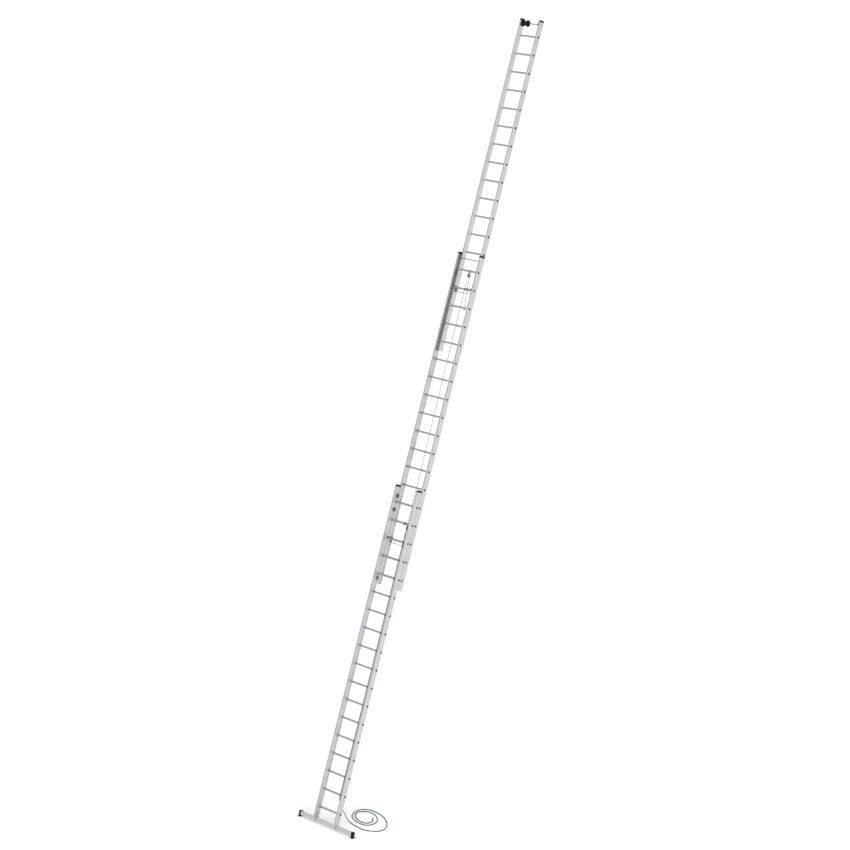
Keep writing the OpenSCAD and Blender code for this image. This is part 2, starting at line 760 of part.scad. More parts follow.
// Rubber pad lying flat on the floor: a flared sole, a cradle for the shoe and an ear for the pin
module foot_pad() {
    sole_h = 7;
    cradle_h = 20;
    cradle_l = pad_l - 10;
    cradle_in = -shoe_w / 2 - 1;
    sole_in = cradle_in - 2;
    ear_in = shoe_w / 2 + 0.7;
    ear_out = pad_out - 0.3;
    ear_r = 12;
    difference() {
        translate([foot_x, foot_pin_y, 0]) union() {
            translate([sole_in, -pad_l / 2, 0]) cube([pad_out + 1 - sole_in, pad_l, sole_h]);
            translate([cradle_in, -cradle_l / 2, 0]) cube([ear_out - cradle_in, cradle_l, cradle_h]);
            translate([(ear_in + ear_out) / 2, 0, 0]) plate_yz(ear_out - ear_in) union() {
                translate([0, foot_pin_z]) circle(r = ear_r);
                translate([-ear_r, sole_h - 2]) square([2 * ear_r, foot_pin_z - sole_h + 2]);
            }
        }
        translate([foot_x, foot_pin_y, foot_pin_z]) bar_x(shoe_r + 0.6, sole_in - 1, ear_in);
        translate([foot_x, foot_pin_y, foot_pin_z]) bar_x(foot_pin_r + pin_clear, 0, pad_out + 1);
    }
}
module foot_pad_left() { color("black") mirror([1, 0, 0]) foot_pad(); }
module foot_pad_right() { color("black") foot_pad(); }

// ---- ropes ---------------------------------------------------------------------------------------

function unit(v) = v / norm(v);
function curve_at(a, b, c, d, t) = 0.5 * (2 * b + (c - a) * t + (2 * a - 5 * b + 4 * c - d) * t * t
    + (3 * b - a - 3 * c + d) * t * t * t);
function at(path, i) = path[max(0, min(len(path) - 1, i))];

// Points on a smooth curve through a path, with the same number of steps in each span
function smooth(path, steps) = concat([for (i = [0:len(path) - 2], k = [0:steps - 1])
    curve_at(at(path, i - 1), path[i], path[i + 1], at(path, i + 2), k / steps)], [path[len(path) - 1]]);
function tangents(p) = [for (i = [0:len(p) - 1]) unit(at(p, i + 1) - at(p, i - 1))];
function normals(t) = [for (i = 0, n = unit(cross(t[0], [1, 0, 0])); i < len(t);
    i = i + 1, n = i < len(t) ? unit(n - (n * t[i]) * t[i]) : n) n];

// Round tube of radius r swept along the points p
module tube(p, r, sides = 8) {
    t = tangents(p);
    n = normals(t);
    last = len(p) - 1;
    points = [for (i = [0:last], k = [0:sides - 1])
        p[i] + r * (cos(360 * k / sides) * n[i] + sin(360 * k / sides) * cross(t[i], n[i]))];
    walls = [for (i = [0:last - 1], k = [0:sides - 1])
        let (a = i * sides + k, b = i * sides + (k + 1) % sides)
        each [[a, a + sides, b], [b, a + sides, b + sides]]];
    ends = [[for (k = [0:sides - 1]) k], [for (k = [sides - 1:-1:0]) last * sides + k]];
    polyhedron(points = points, faces = concat(walls, ends));
}

// The rope is straight down to the second rung of its route, and curved from there on
module haul_rope() {
    hanging = [for (p = ladder_route) to_row(p)];
    curved = concat([for (i = [1:len(hanging) - 1]) hanging[i]], floor_route);
    color("teal") tube(concat([hanging[0]], smooth(curved, 2)), rope_r);
}

// Bound end of the hauling rope
module haul_rope_end() {
    path = smooth(floor_route, 2);
    last = len(path) - 1;
    run = path[last] - path[last - 1];
    color("darkslategray") translate(path[last])
        rotate([0, 90, atan2(run[1], run[0])]) cylinder(r = rope_r, h = 30);
}

// Half turn of rope over the top of a sheave
module rope_wrap(pitch, r) {
    rotate([0, 90, 0]) rotate([0, 0, 90]) rotate_extrude(angle = 180) translate([pitch, 0]) circle(r = r);
}

module haul_strand() {
    color("teal") {
        at_haul_sheave() rope_wrap(haul_pitch_r, rope_r);
        on_ladder() translate([haul_x, haul_rear_y, 0])
            bar_z(rope_r, middle_hook_rung + anchor_head, haul_rung - haul_drop);
    }
}

// Lift rope from the lower section's anchor, slanting up to the pulley and half round it
lift_top = lift_rung - lift_drop;
lift_foot = haul_rung + anchor_head;
module lift_strand_front() {
    slant = atan2(lift_anchor_x - lift_x, lift_top - lift_foot);
    // The slanted strand stops just short of the wrap's upright end
    length = norm([lift_anchor_x - lift_x, lift_top - lift_foot]) - 0.2;
    color("darkseagreen") {
        at_lift_sheave() rope_wrap(lift_pitch_r, lift_rope_d / 2);
        on_ladder() translate([lift_anchor_x, lift_front_y, lift_foot]) rotate([0, -slant, 0])
            cylinder(r = lift_rope_d / 2, h = length);
    }
}
module lift_strand_rear() {
    color("darkseagreen") on_ladder() translate([lift_x, lift_rear_y, 0])
        bar_z(lift_rope_d / 2, top_hook_rung + anchor_head, lift_top);
}
// Loose end of the lift rope, hanging a little aslant below the top section's anchor
module lift_rope_tail() {
    slant = 9;
    length = 340;
    color("darkseagreen") on_ladder() translate([lift_x, lift_rear_y, top_hook_rung - anchor_foot])
        rotate([0, 180 - slant, 0]) cylinder(r = lift_rope_d / 2, h = length);
}

// ---- assembly ------------------------------------------------------------------------------------

lower_stile_left();
lower_stile_right();
lower_rungs();
lower_rung_plugs();
lower_caps();
lower_guides();
lower_rivets();
traverse_beam();
traverse_brackets();
traverse_bolts();
foot_shoes();
foot_pins();
foot_pad_left();
foot_pad_right();
haul_pulley_block();
haul_pulley_pin();
haul_sheave();
lift_rope_anchor();
middle_stile_left();
middle_stile_right();
middle_rungs();
middle_rung_plugs();
middle_caps();
middle_bottom_guides();
middle_top_guides();
middle_rivets();
tie_rod();
tie_rod_nuts();
lift_pulley_block();
lift_pulley_pin();
lift_sheave();
haul_rope_anchor();
middle_hook_bushes();
middle_hook_left();
middle_hook_right();
middle_hook_rod();
top_stile_left();
top_stile_right();
top_rungs();
top_rung_plugs();
top_caps();
top_guides();
top_rivets();
top_rope_anchor();
top_hook_bushes();
top_hook_left();
top_hook_right();
top_hook_rod();
roller_axle();
axle_nuts();
wall_roller_left();
wall_roller_middle();
wall_roller_right();
haul_rope();
haul_rope_end();
haul_strand();
lift_strand_front();
lift_strand_rear();
lift_rope_tail();
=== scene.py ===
"""Looks of a three-section extension ladder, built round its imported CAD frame.

Ladder axes are x along the rungs, depth from the climber's side to the wall side, and height along
the stiles. The row frame stands upright on the floor. Every length is in metres.
"""

import json
import math

import bpy
from mathutils import Matrix, Vector


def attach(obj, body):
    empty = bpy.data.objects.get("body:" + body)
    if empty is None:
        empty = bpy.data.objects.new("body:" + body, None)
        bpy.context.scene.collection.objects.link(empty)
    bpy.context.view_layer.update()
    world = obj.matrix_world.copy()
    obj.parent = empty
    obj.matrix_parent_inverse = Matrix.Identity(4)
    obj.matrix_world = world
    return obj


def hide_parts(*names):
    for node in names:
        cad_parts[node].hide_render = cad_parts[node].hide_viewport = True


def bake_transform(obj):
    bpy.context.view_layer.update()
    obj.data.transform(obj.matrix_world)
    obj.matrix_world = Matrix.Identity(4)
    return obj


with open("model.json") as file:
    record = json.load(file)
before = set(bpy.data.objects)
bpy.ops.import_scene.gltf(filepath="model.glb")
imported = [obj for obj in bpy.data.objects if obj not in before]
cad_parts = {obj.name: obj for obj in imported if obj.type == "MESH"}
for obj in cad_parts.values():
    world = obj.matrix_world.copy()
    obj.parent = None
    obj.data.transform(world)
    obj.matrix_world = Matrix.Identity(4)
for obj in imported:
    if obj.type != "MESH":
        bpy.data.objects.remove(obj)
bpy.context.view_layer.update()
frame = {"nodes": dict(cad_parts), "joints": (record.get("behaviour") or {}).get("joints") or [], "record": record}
nodes = frame["nodes"]
joints = {joint["name"]: joint for joint in frame["joints"]}
ratios = {c["joint"]: c["ratio"] for c in frame["record"]["behaviour"]["couplings"]}

# ---- ladder axes and places, worked out from the frame -------------------------------------------

slide = Vector(joints["middle_slide"]["axis"])
LEAN = math.atan2(slide.y, slide.z)
TO_ROW = Matrix.Rotation(-LEAN, 4, "X")
TO_LADDER = Matrix.Rotation(LEAN, 4, "X")


def row(x, depth, height):
    """A point given in ladder axes, in the row frame."""
    return TO_ROW @ Vector((x, depth, height))


def ladder_box(node):
    """Lowest and highest corner of a CAD node, in ladder axes."""
    points = [TO_LADDER @ vertex.co for vertex in nodes[node].data.vertices]
    low = Vector([min(p[axis] for p in points) for axis in range(3)])
    high = Vector([max(p[axis] for p in points) for axis in range(3)])
    return low, high


def rung_places(node):
    """Half the length of a section's rungs, their depth, and the height of each one's middle."""
    low, high = ladder_box(node)
    first = low.z + RUNG_HEIGHT / 2
    pitch = (high.z - low.z - RUNG_HEIGHT) / (RUNGS - 1)
    return high.x, (low.y + high.y) / 2, [first + k * pitch for k in range(RUNGS)]


def joint_place(name):
    """A joint's position in ladder axes."""
    return TO_LADDER @ Vector(joints[name]["pos_m"])


MM = 0.001
RUNGS = 18
RUNG_DEPTH = 26 * MM
RUNG_HEIGHT = 28 * MM
RUNG_WALL = 1.5 * MM
RUNG_CORNER = 6 * MM
# Inner face of the wall that each section's rungs pass through, from the middle of the ladder
WEB_INNER = {"lower_section": 0.230, "middle_section": 0.230, "top_section": 0.177}
SECTIONS = (("lower", "lower_section"), ("middle", "middle_section"), ("top", "top_section"))

HAUL_R = 7 * MM
HAUL_LAY = 42 * MM
HAUL_FRONT = -21.5 * MM
WHIPPING = 30 * MM
LIFT_R = 4 * MM
LIFT_LAY = 68 * MM
ROPE_STEP = 4 * MM
# How far an anchor's top stands above the middle of its rung, and a strand's end below that top
ANCHOR_HEAD = 14 * MM
STRAND_SEAT = 6 * MM

haul_wheel = joint_place("haul_sheave_spin")
lift_wheel = joint_place("lift_sheave_spin")
haul_pitch = 1 / ratios["haul_sheave_spin"]
lift_pitch = 1 / ratios["lift_sheave_spin"]

# ---- camera --------------------------------------------------------------------------------------

CAMERA_PLACE = (25.175, -24.063, 16.380)
CAMERA_DOWN = 16.13
CAMERA_ROUND = 43.825
CAMERA_LENS = 106.54
CAMERA_REACH = 1000

camera_data = bpy.data.cameras.new("camera")
camera_data.lens = CAMERA_LENS
camera_data.clip_end = CAMERA_REACH
camera = bpy.data.objects.new("camera", camera_data)
camera.location = CAMERA_PLACE
camera.rotation_euler = (math.radians(90 - CAMERA_DOWN), 0, math.radians(CAMERA_ROUND))
bpy.context.scene.collection.objects.link(camera)
bpy.context.scene.camera = camera

# ---- mesh helpers --------------------------------------------------------------------------------


class Shape:
    """Vertices and faces gathered for one mesh."""

    def __init__(self):
        self.points = []
        self.faces = []

    def loft(self, rings, closed=False, start_cap=True, end_cap=True):
        """Skins rings of equal point count. A closed loft joins its last ring to its first."""
        first = len(self.points)
        sides = len(rings[0])
        for ring in rings:
            self.points.extend(ring)
        spans = len(rings) if closed else len(rings) - 1
        for i in range(spans):
            a = first + i * sides
            b = first + (i + 1) % len(rings) * sides
            for k in range(sides):
                n = (k + 1) % sides
                self.faces.append((a + k, a + n, b + n, b + k))
        if not closed and start_cap:
            self.faces.append(tuple(first + k for k in reversed(range(sides))))
        if not closed and end_cap:
            last = first + (len(rings) - 1) * sides
            self.faces.append(tuple(last + k for k in range(sides)))

    def piece(self, name, crease=35):
        """The finished object, smooth except at edges sharper than the crease angle in degrees."""
        mesh = bpy.data.meshes.new(name)
        mesh.from_pydata([tuple(p) for p in self.points], [], self.faces)
        mesh.validate()
        mesh.shade_smooth()
        mesh.set_sharp_from_angle(angle=math.radians(crease))
        made = bpy.data.objects.new(name, mesh)
        bpy.context.scene.collection.objects.link(made)
        return made


def circle(radius, sides):
    """Points (a, b) round a circle."""
    return [
        (radius * math.cos(2 * math.pi * k / sides), radius * math.sin(2 * math.pi * k / sides))
        for k in range(sides)
    ]


def lathe(shape, profile, place, sides=24):
    """Turns a profile of (radius, distance) points about an axis; place(a, b, distance) sets each point."""
    rings = [[place(a, b, along) for a, b in circle(radius, sides)] for radius, along in profile]
    shape.loft(rings)


# ---- rope helpers --------------------------------------------------------------------------------


def curve_at(a, b, c, d, t):
    """A point on the smooth curve through b and c."""
    return 0.5 * (
        2 * b + (c - a) * t + (2 * a - 5 * b + 4 * c - d) * t * t + (3 * b - a - 3 * c + d) * t * t * t
    )


def smooth(path, steps=16):
    """Points on a smooth curve through a path."""
    out = []
    last = len(path) - 1
    for i in range(last):
        a, d = path[max(0, i - 1)], path[min(last, i + 2)]
        out += [curve_at(a, path[i], path[i + 1], d, k / steps) for k in range(steps)]
    return out + [path[-1]]


def even(path, step):
    """The same line with its points a fixed step apart, and its two ends kept."""
    lengths = [(b - a).length for a, b in zip(path, path[1:])]
    count = max(2, round(sum(lengths) / step))
    spacing = sum(lengths) / count
    out, i, walked = [path[0]], 0, 0.0
    for k in range(1, count):
        while walked + lengths[i] < k * spacing:
            walked += lengths[i]
            i += 1
        out.append(path[i].lerp(path[i + 1], (k * spacing - walked) / lengths[i]))
    return out + [path[-1]]


def side_vectors(path, first):
    """For each point of a path, two unit vectors square to it, carried along without twist."""
    frames = []
    side = first.copy()
    for i, point in enumerate(path):
        along = (path[min(len(path) - 1, i + 1)] - path[max(0, i - 1)]).normalized()
        side = (side - along * side.dot(along)).normalized()
        frames.append((side.copy(), along.cross(side)))
    return frames


def strand_outline(radius, strands, sides):
    """Round outline with one lobe for each strand, as (distance from the centre, angle) pairs."""
    valley = 0.73
    out = []
    for k in range(sides):
        angle = 2 * math.pi * k / sides
        crown = math.sqrt(abs(math.cos(strands * angle / 2)))
        out.append((radius * (valley + (1 - valley) * crown), angle))
    return out


def laid_rings(path, radius, lay, first=Vector((1, 0, 0)), strands=3, sides=18):
    """Rings of a rope whose strands wind once round it in each lay."""
    outline = strand_outline(radius, strands, sides)
    rings, walked = [], 0.0
    for i, (u, v) in enumerate(side_vectors(path, first)):
        if i:
            walked += (path[i] - path[i - 1]).length
        turn = 2 * math.pi * walked / lay
        rings.append([
            path[i] + u * (r * math.cos(a + turn)) + v * (r * math.sin(a + turn)) for r, a in outline
        ])
    return rings


def wrap_path(wheel, pitch, steps=24):
    """Half a turn over the top of a sheave, from its wall side to the climber's side."""
    out = []
    for k in range(steps + 1):
        angle = math.pi * k / steps
        out.append(row(wheel.x, wheel.y + pitch * math.cos(angle), wheel.z + pitch * math.sin(angle)))
    return out


def straight_strand(name, start, end, radius):
    """A straight stretch of rope between two bodies. It has rings only at its ends."""
    along = (end - start).normalized()
    side = Vector((1, 0, 0))
    side = (side - along * side.dot(along)).normalized()
    other = along.cross(side)
    shape = Shape()
    shape.loft([[p + side * a + other * b for a, b in circle(radius, 24)] for p in (start, end)])
    made = shape.piece(name)
    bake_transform(made)
    return made


# ---- the hauling rope ----------------------------------------------------------------------------

# Down the front of the rungs and back under the second, as (x, depth, height) in ladder axes
haul_route = [
    (haul_wheel.x, HAUL_FRONT, haul_wheel.z), (0.154, -0.022, 0.560), (0.154, -0.0185, 0.500),
    (0.154, 0.004, 0.430), (0.154, 0.050, 0.358), (0.154, 0.104, 0.312), (0.154, 0.146, 0.284),
]
# Then down to the floor, as (x, y, z) in the row frame
drop_route = [(0.155, 0.282, 0.124), (0.162, 0.322, 0.050), (0.188, 0.352, 0.012)]
# And round two and a half loose loops on the floor, as (x, y)
loop_route = [
    (0.260, 0.338), (0.470, 0.318), (0.590, 0.358), (0.680, 0.430), (0.708, 0.530), (0.662, 0.640),
    (0.550, 0.752), (0.410, 0.836), (0.260, 0.882), (0.120, 0.888), (0.000, 0.848), (-0.058, 0.756),
    (-0.044, 0.640), (0.030, 0.534), (0.140, 0.468), (0.270, 0.438), (0.380, 0.450), (0.450, 0.520),
    (0.430, 0.670), (0.270, 0.800), (0.130, 0.818), (0.030, 0.776), (-0.012, 0.698), (0.018, 0.616),
    (0.100, 0.546), (0.210, 0.500), (0.312, 0.494), (0.376, 0.540), (0.376, 0.620), (0.308, 0.696),
]


def rope_whipping(path):
    """The bound end of the hauling rope: twine wound round it, and a fused tip."""
    tip = path[-1]
    along = (path[-1] - path[-2]).normalized()
    side = Vector((0, 0, 1))
    other = along.cross(side)
    turns = 10
    pitch = 2 * MM
    profile = [(0.7 * HAUL_R, -2 * MM)]
    for k in range(turns):
        profile += [(0.88 * HAUL_R, k * pitch), (HAUL_R, (k + 0.3) * pitch), (HAUL_R, (k + 0.7) * pitch)]
    wound = turns * pitch
    profile += [(0.86 * HAUL_R, wound), (0.9 * HAUL_R, wound + 4 * MM), (0.72 * HAUL_R, WHIPPING - 1.5 * MM),
                (0.35 * HAUL_R, WHIPPING)]
    shape = Shape()
    lathe(shape, profile, lambda a, b, d: tip + along * d + side * a + other * b)
    made = shape.piece("haul_rope_whipping", crease=60)
    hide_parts("haul_rope_end")
    return made


def make_haul_rope():
    hanging = [row(*place) for place in haul_route]
    floor_route = drop_route + [(x, y, HAUL_R) for x, y in loop_route]
    curved = smooth(hanging[1:] + [Vector(place) for place in floor_route])
    free = even([hanging[0]] + curved, ROPE_STEP)
    wrap = even(wrap_path(haul_wheel, haul_pitch), ROPE_STEP)
    rings = laid_rings(wrap + free[1:], HAUL_R, HAUL_LAY)

    over = Shape()
    over.loft(rings[: len(wrap)])
    wrap_piece = over.piece("haul_rope_over_sheave")
    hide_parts("haul_strand")
    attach(wrap_piece, "lower_section")

    run = Shape()
    run.loft(rings[len(wrap) - 1:])
    rope = run.piece("haul_rope_free")
    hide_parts("haul_rope")
    whipping = rope_whipping(free)
    for made in (rope, whipping):
        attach(made, "lower_section")
    return wrap_piece, rope, whipping


haul_wrap, haul_free, haul_whipping = make_haul_rope()

TURN_STEPS = 20
TURN_CLEARANCE = 0.3 * MM
TURN_SQUARENESS = 2.2
FERRULE_RUN = 4 * MM
SLACK = 2 * MM
TURN_ROPE_STEP = 3 * MM
# The loose tail past the last turn, as (outward, down) in rope radii
TURN_TAIL = ((0.5, 2.0), (0.7, 5.0), (0.4, 9.0), (0.6, 13.0))


def squared(wave):
    """A sine or cosine held at its limits for longer, so that turns lie along a rung's flats."""
    return max(-1, min(1, TURN_SQUARENESS * wave))


def wound_turns(name, anchor, rung_depth, reach_depth, radius, lay, hand, turns, body):
    """The rope's end below an anchor's ferrule: back under the rung, some turns round it, and a short tail.

    The turns lie beside the anchor's plate, on the side given by hand."""
    low, high = ladder_box(anchor)
    middle_x = (low.x + high.x) / 2
    rung_height = high.z - ANCHOR_HEAD
    plate = (high.x - low.x) / 2
    gap = radius + TURN_CLEARANCE
    start_x = middle_x + hand * (plate + gap)
    under = rung_height - RUNG_HEIGHT / 2 - gap
    path = [
        Vector((middle_x, reach_depth, low.z + FERRULE_RUN)),
        Vector((middle_x, reach_depth, low.z - FERRULE_RUN)),
        Vector((middle_x + hand * plate / 2, (2 * reach_depth + rung_depth) / 3, under - SLACK)),
    ]
    across, up = RUNG_DEPTH / 2 - RUNG_CORNER, RUNG_HEIGHT / 2 - RUNG_CORNER
    corner = RUNG_CORNER + gap
    toward = 1 if rung_depth > reach_depth else -1
    for k in range(turns * TURN_STEPS + 3 * TURN_STEPS // 4 + 1):
        angle = 2 * math.pi * k / TURN_STEPS - math.pi / 2
        c, s = math.cos(angle), math.sin(angle)
        path.append(Vector((
            start_x + hand * 2 * gap * k / TURN_STEPS,
            rung_depth + toward * (across * squared(c) + corner * c),
            rung_height + up * squared(s) + corner * s,
        )))
    end = path[-1]
    for out, down in TURN_TAIL:
        path.append(Vector((
            end.x + hand * out * radius, end.y - toward * out * radius, end.z - down * radius
        )))
    path = even([row(*p) for p in smooth(path, 4)], TURN_ROPE_STEP)
    shape = Shape()
    shape.loft(laid_rings(path, radius, lay))
    made = shape.piece(name)
    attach(made, body)
    return made


haul_anchor_high = ladder_box("haul_rope_anchor")[1]
haul_rear = haul_wheel.y + haul_pitch
haul_foot = haul_anchor_high.z - STRAND_SEAT
haul_strand = straight_strand(
    "haul_rope_strand", row(haul_wheel.x, haul_rear, haul_wheel.z),
    row(haul_wheel.x, haul_rear, haul_foot), HAUL_R,
)
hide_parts("haul_strand")
middle_rung_depth = rung_places("middle_rungs")[1]
top_rung_depth = rung_places("top_rungs")[1]
haul_turns = wound_turns(
    "haul_rope_turns", "haul_rope_anchor", middle_rung_depth, haul_rear, HAUL_R, HAUL_LAY,
    hand=-1, turns=1, body="middle_section",
)

# ---- the lift rope -------------------------------------------------------------------------------

lift_front = lift_wheel.y - lift_pitch
lift_rear = lift_wheel.y + lift_pitch
lift_anchor_low, lift_anchor_high = ladder_box("lift_rope_anchor")
lift_anchor_x = (lift_anchor_low.x + lift_anchor_high.x) / 2
top_anchor_high = ladder_box("top_rope_anchor")[1]

lift_over = even(wrap_path(lift_wheel, lift_pitch), ROPE_STEP)
over = Shape()
over.loft(laid_rings(lift_over, LIFT_R, LIFT_LAY / 2, strands=8, sides=24))
lift_wrap = over.piece("lift_rope_over_sheave")
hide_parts("lift_strand_front")
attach(lift_wrap, "middle_section")

lift_up = straight_strand(
    "lift_rope_front", row(lift_anchor_x, lift_front, lift_anchor_high.z - STRAND_SEAT),
    row(lift_wheel.x, lift_front, lift_wheel.z), LIFT_R,
)
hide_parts("lift_strand_front")
lift_down = straight_strand(
    "lift_rope_rear", row(lift_wheel.x, lift_rear, lift_wheel.z),
    row(lift_wheel.x, lift_rear, top_anchor_high.z - STRAND_SEAT), LIFT_R,
)
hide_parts("lift_strand_rear")
lift_turns = [
    wound_turns("lift_rope_lower_turns", "lift_rope_anchor", 0, lift_front, LIFT_R, LIFT_LAY,
                hand=-1, turns=3, body="lower_section"),
    wound_turns("lift_rope_top_turns", "top_rope_anchor", top_rung_depth, lift_rear, LIFT_R, LIFT_LAY,
                hand=-1, turns=4, body="top_section"),
]

# ---- fluted rungs --------------------------------------------------------------------------------

GROOVES = 4
# One groove across its share of a flat, as (part of the width, 0 on the crest or 1 in the groove)
GROOVE_SHAPE = ((0.12, 0), (0.38, 0), (0.5, 1), (0.82, 1))
CORNER_STEPS = 4


def rung_outline(grow, flute):
    """Points (depth, height) round a rung: a rounded rectangle with grooves in its four flats."""
    r = RUNG_CORNER + grow
    half_depth = RUNG_DEPTH / 2 + grow
    half_height = RUNG_HEIGHT / 2 + grow
    out = []
    for quarter in range(4):
        turn = quarter * math.pi / 2
        out_by, across = (half_depth, half_height) if quarter % 2 == 0 else (half_height, half_depth)
        flat = across - r
        for k in range(GROOVES):
            for share, sunk in GROOVE_SHAPE:
                along = -flat + 2 * flat * (k + share) / GROOVES
                out.append((turn, out_by - sunk * flute, along))
        for k in range(CORNER_STEPS):
            a = math.pi / 2 * k / CORNER_STEPS + math.pi / (4 * CORNER_STEPS)
            out.append((turn, out_by - r + r * math.cos(a), flat + r * math.sin(a)))
    return [
        (c * math.cos(t) - s * math.sin(t), c * math.sin(t) + s * math.cos(t)) for t, c, s in out
    ]


def rung_rings(half, web):
    """Rings of one rung, outside and then inside; a swaged collar bears on each stile from within."""
    flute, bead = 0.7 * MM, 2 * MM
    collar = [(-half, 0, 0), (-web, 0, 0), (-web, bead, 0), (-web + 3 * MM, bead, 0),
              (-web + 4.5 * MM, 0.6 * bead, 0), (-web + 6 * MM, 0, 0), (-web + 12 * MM, 0, flute)]
    stations = collar + [(-x, grow, groove) for x, grow, groove in reversed(collar)]
    stations += [(half, -RUNG_WALL, 0), (-half, -RUNG_WALL, 0)]
    return [(x, rung_outline(grow, groove)) for x, grow, groove in stations]


def make_rungs(node, body):
    """A section's fluted rungs, open at both ends."""
    half, depth, heights = rung_places(node)
    rings = rung_rings(half, WEB_INNER[body])
    shape = Shape()
    for height in heights:
        shape.loft(
            [[row(x, depth + a, height + b) for a, b in outline] for x, outline in rings], closed=True
        )
    made = shape.piece(node + "_fluted", crease=28)
    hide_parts(node)
    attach(made, body)
    return made


rungs = [make_rungs(name + "_rungs", body) for name, body in SECTIONS]

# ---- rung plugs ----------------------------------------------------------------------------------

# (radius, distance out from the rung's end) in mm, from the stem to the middle of the dished head
PLUG_PROFILE = [
    (8.5, -14), (10, -12.5), (10, 0), (17, 0), (17, 0.8), (16.2, 1.6), (14, 2.1), (10.6, 2.3),
    (10.0, 2.0), (9.6, 1.2), (4, 1.2), (3.4, 0.7), (0.3, 0.7),
]


def make_plugs(node, rung_node, body):
    """Black moulded plugs with a dished head, one in each end of each rung."""
    half, depth, heights = rung_places(rung_node)
    profile = [(r * MM, d * MM) for r, d in PLUG_PROFILE]
    shape = Shape()
    for height in heights:
        for side in (-1, 1):
            lathe(shape, profile, lambda a, b, d: row(side * (half + d), depth + side * a, height + b))
    made = shape.piece(node + "_moulded")
    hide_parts(node)
    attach(made, body)
    return made


plugs = [make_plugs(name + "_rung_plugs", name + "_rungs", body) for name, body in SECTIONS]

# ---- materials -----------------------------------------------------------------------------------


class Finish:
    """A node material, with the pattern space turned so that its z runs along the stiles."""

    def __init__(self, name, colour, metallic=0.0, roughness=0.5, turn=(LEAN, 0, 0), origin=(0, 0, 0)):
        self.material = bpy.data.materials.new(name)
        self.material.use_nodes = True
        self.tree = self.material.node_tree
        self.shader = self.tree.nodes["Principled BSDF"]
        self.shader.inputs["Metallic"].default_value = metallic
        self.shader.inputs["Roughness"].default_value = roughness
        self.shader.inputs["Base Color"].default_value = (*colour, 1)
        self.colour = colour
        place = self.add("ShaderNodeTexCoord").outputs["Object"]
        moved = self.add("ShaderNodeVectorMath", {0: place, 1: origin}, operation="SUBTRACT")
        turned = {"Vector": moved.outputs[0], "Rotation": turn}
        self.space = self.add("ShaderNodeVectorRotate", turned, rotation_type="EULER_XYZ").outputs[0]

    def feed(self, socket, value):
        """Sets an input socket to a value, or links another socket to it."""
        if isinstance(value, bpy.types.NodeSocket):
            self.tree.links.new(value, socket)
        else:
            socket.default_value = value

    def add(self, kind, inputs=None, **settings):
        """A node with its settings, and its inputs set to a value or linked to a socket."""
        node = self.tree.nodes.new(kind)
        for key, value in settings.items():
            setattr(node, key, value)
        for key, value in (inputs or {}).items():
            self.feed(node.inputs[key], value)
        return node

    def math(self, operation, a, b=0.0):
        return self.add("ShaderNodeMath", {0: a, 1: b}, operation=operation).outputs[0]

    def noise(self, scale, detail=3.0, stretch=(1, 1, 1), rough=0.55):
        """Noise from 0 to 1; stretch multiplies the pattern's frequency along each axis."""
        spread = self.add("ShaderNodeVectorMath", {0: self.space, 1: stretch}, operation="MULTIPLY")
        inputs = {"Vector": spread.outputs[0], "Scale": scale, "Detail": detail, "Roughness": rough}
        return self.add("ShaderNodeTexNoise", inputs).outputs["Fac"]

    def span(self, value, low, high, start=0.3, end=0.7):
        """Maps a value from start..end to low..high."""
        inputs = {"Value": value, "From Min": start, "From Max": end, "To Min": low, "To Max": high}
        return self.add("ShaderNodeMapRange", inputs).outputs["Result"]

    def tint(self, factor, colour):
        """Mixes the colour so far with another by a factor, and uses it as the base colour."""
        base = self.shader.inputs["Base Color"]
        first = base.links[0].from_socket if base.is_linked else tuple(base.default_value)
        mix = self.add("ShaderNodeMix", data_type="RGBA")
        for socket, value in ((mix.inputs[0], factor), (mix.inputs[6], first), (mix.inputs[7], (*colour, 1))):
            self.feed(socket, value)
        self.tree.links.new(mix.outputs[2], base)

    def roughen(self, value, low, high):
        self.tree.links.new(self.span(value, low, high), self.shader.inputs["Roughness"])

    def bump(self, height, distance, strength=1.0):
        """Adds relief of a given real height, on top of any relief already there."""
        normal = self.shader.inputs["Normal"]
        inputs = {"Height": height, "Distance": distance, "Strength": strength}
        if normal.is_linked:
            inputs["Normal"] = normal.links[0].from_socket
        self.tree.links.new(self.add("ShaderNodeBump", inputs).outputs[0], normal)

    def winding(self, starts, lay):
        """A wave from -1 to 1 that winds round the z axis of the pattern space, once in each lay."""
        parts = self.add("ShaderNodeSeparateXYZ", {0: self.space}).outputs
        angle = self.math("MULTIPLY", self.math("ARCTAN2", parts[1], parts[0]), starts)
        climb = self.math("MULTIPLY", parts[2], 2 * math.pi * starts / lay)
        return self.math("SINE", self.math("SUBTRACT", angle, climb))


DULL_SPECULAR = 0.2


def shade(colour, factor):
    """A colour made darker or lighter by a factor."""
    return tuple(factor * c for c in colour)


def aluminium(name, colour, roughness, stretch):
    """Extruded aluminium: fine die lines along the bar, a faint mottle and a few rub marks."""
    finish = Finish(name, colour, metallic=1.0, roughness=roughness)
    lines = finish.noise(scale=320, detail=2, stretch=stretch)
    mottle = finish.noise(scale=5, detail=4)
    rubs = finish.noise(scale=60, detail=5, stretch=tuple(min(1.0, s * 6) for s in stretch))
    finish.tint(finish.span(mottle, low=0.0, high=0.55), shade(colour, 0.86))
    finish.tint(finish.span(rubs, low=0.0, high=0.5, start=0.58, end=0.72), shade(colour, 1.08))
    wear = finish.math("ADD", finish.math("MULTIPLY", lines, 0.6), finish.math("MULTIPLY", mottle, 0.4))
    finish.roughen(wear, low=roughness - 0.07, high=roughness + 0.09)
    finish.bump(lines, distance=0.05 * MM, strength=0.5)
    return finish.material


